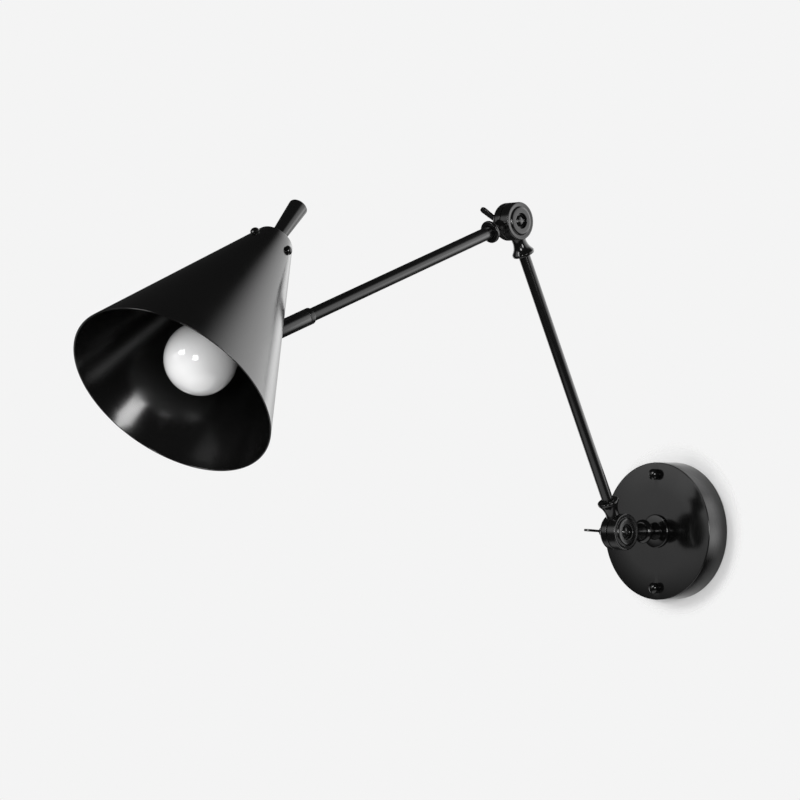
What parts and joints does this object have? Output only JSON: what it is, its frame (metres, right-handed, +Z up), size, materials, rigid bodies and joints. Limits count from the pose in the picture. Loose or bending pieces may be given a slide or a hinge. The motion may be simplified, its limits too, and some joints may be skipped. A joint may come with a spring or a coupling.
{
  "type": "wall lamp",
  "caption": "Two-arm folding wall lamp with thumb-screw knuckles, swivelling and tilting cone shade and round wall canopy.",
  "frame": {"origin": "centre of the canopy's back rim, on the wall", "axes": "+Y into the wall, -Y out into the room, +Z up, +X to the right when facing the wall"},
  "size_m": [0.1768, 0.6814, 0.3562],
  "materials": {
    "black_metal": "satin",
    "black_casting": "satin",
    "black_shade": "satin",
    "zinc_steel": "satin",
    "green_screw": "satin",
    "fibre": "matte",
    "socket_moulding": "gloss",
    "brass": "satin",
    "opal_glass": "gloss",
    "cap_metal": "satin",
    "cap_insulator": "gloss"
  },
  "bodies": {
    "wall_mount": {"canopy": "black_metal", "mounting_plate": "zinc_steel", "canopy_studs": "zinc_steel", "stud_nuts": "zinc_steel", "cap_nuts": "black_metal", "ground_screw": "green_screw", "stem": "black_metal", "stem_nipple": "zinc_steel", "stem_lock_washer": "zinc_steel", "stem_lock_nut": "zinc_steel", "wall_knuckle_front": "black_casting", "wall_friction_washer": "fibre", "wall_pivot_screw": "black_casting"},
    "lower_arm": {"wall_knuckle_back": "black_casting", "lower_tube": "black_metal", "elbow_knuckle_front": "black_casting", "elbow_friction_washer": "fibre", "elbow_pivot_screw": "black_casting"},
    "upper_arm": {"elbow_knuckle_back": "black_casting", "upper_tube": "black_metal", "stop_collar": "black_metal", "retaining_ring": "zinc_steel"},
    "head_swivel": {"swivel_sleeve": "black_metal", "head_pivot_eye": "black_metal"},
    "lamp_head": {"head_bracket": "black_metal", "bracket_rivets": "black_metal", "head_pivot_screw": "black_metal", "head_pivot_nut": "black_metal", "socket_cup": "black_shade", "lamp_socket": "socket_moulding", "socket_shell": "brass", "socket_contact": "brass", "socket_screws": "black_metal", "bulb_glass": "opal_glass", "bulb_cap": "cap_metal", "bulb_insulator": "cap_insulator", "bulb_tip": "cap_metal", "shade": "black_shade", "ball_screws": "black_metal", "handle": "black_metal", "handle_screw": "black_metal"},
    "wall_wing": {"wall_wing_nut": "black_casting"},
    "elbow_wing": {"elbow_wing_nut": "black_casting"}
  },
  "joints": [
    {"name": "wall_knuckle", "type": "hinge", "parent": "wall_mount", "child": "lower_arm", "pos_m": [0, -0.0784, 0], "axis": [-1, 0, 0], "range_deg": [-155, 30]},
    {"name": "elbow_knuckle", "type": "hinge", "parent": "lower_arm", "child": "upper_arm", "pos_m": [0, -0.21962, 0.27597], "axis": [-1, 0, 0], "range_deg": [-50, 125]},
    {"name": "head_swivel", "type": "hinge", "parent": "upper_arm", "child": "head_swivel", "pos_m": [0, -0.51935, 0.1639], "axis": [0, -0.9367, -0.3502], "range_deg": [-170, 140]},
    {"name": "head_tilt", "type": "hinge", "parent": "head_swivel", "child": "lamp_head", "pos_m": [0, -0.51935, 0.1639], "axis": [0.9692, -0.0862, 0.2306], "range_deg": [-8, 70]},
    {"name": "wall_wing_turn", "type": "hinge", "parent": "wall_mount", "child": "wall_wing", "pos_m": [-0.0101, -0.0784, 0], "axis": [-1, 0, 0], "range_deg": [0, 360]},
    {"name": "elbow_wing_turn", "type": "hinge", "parent": "lower_arm", "child": "elbow_wing", "pos_m": [-0.0101, -0.21962, 0.27597], "axis": [-1, 0, 0], "range_deg": [0, 360]}
  ]
}
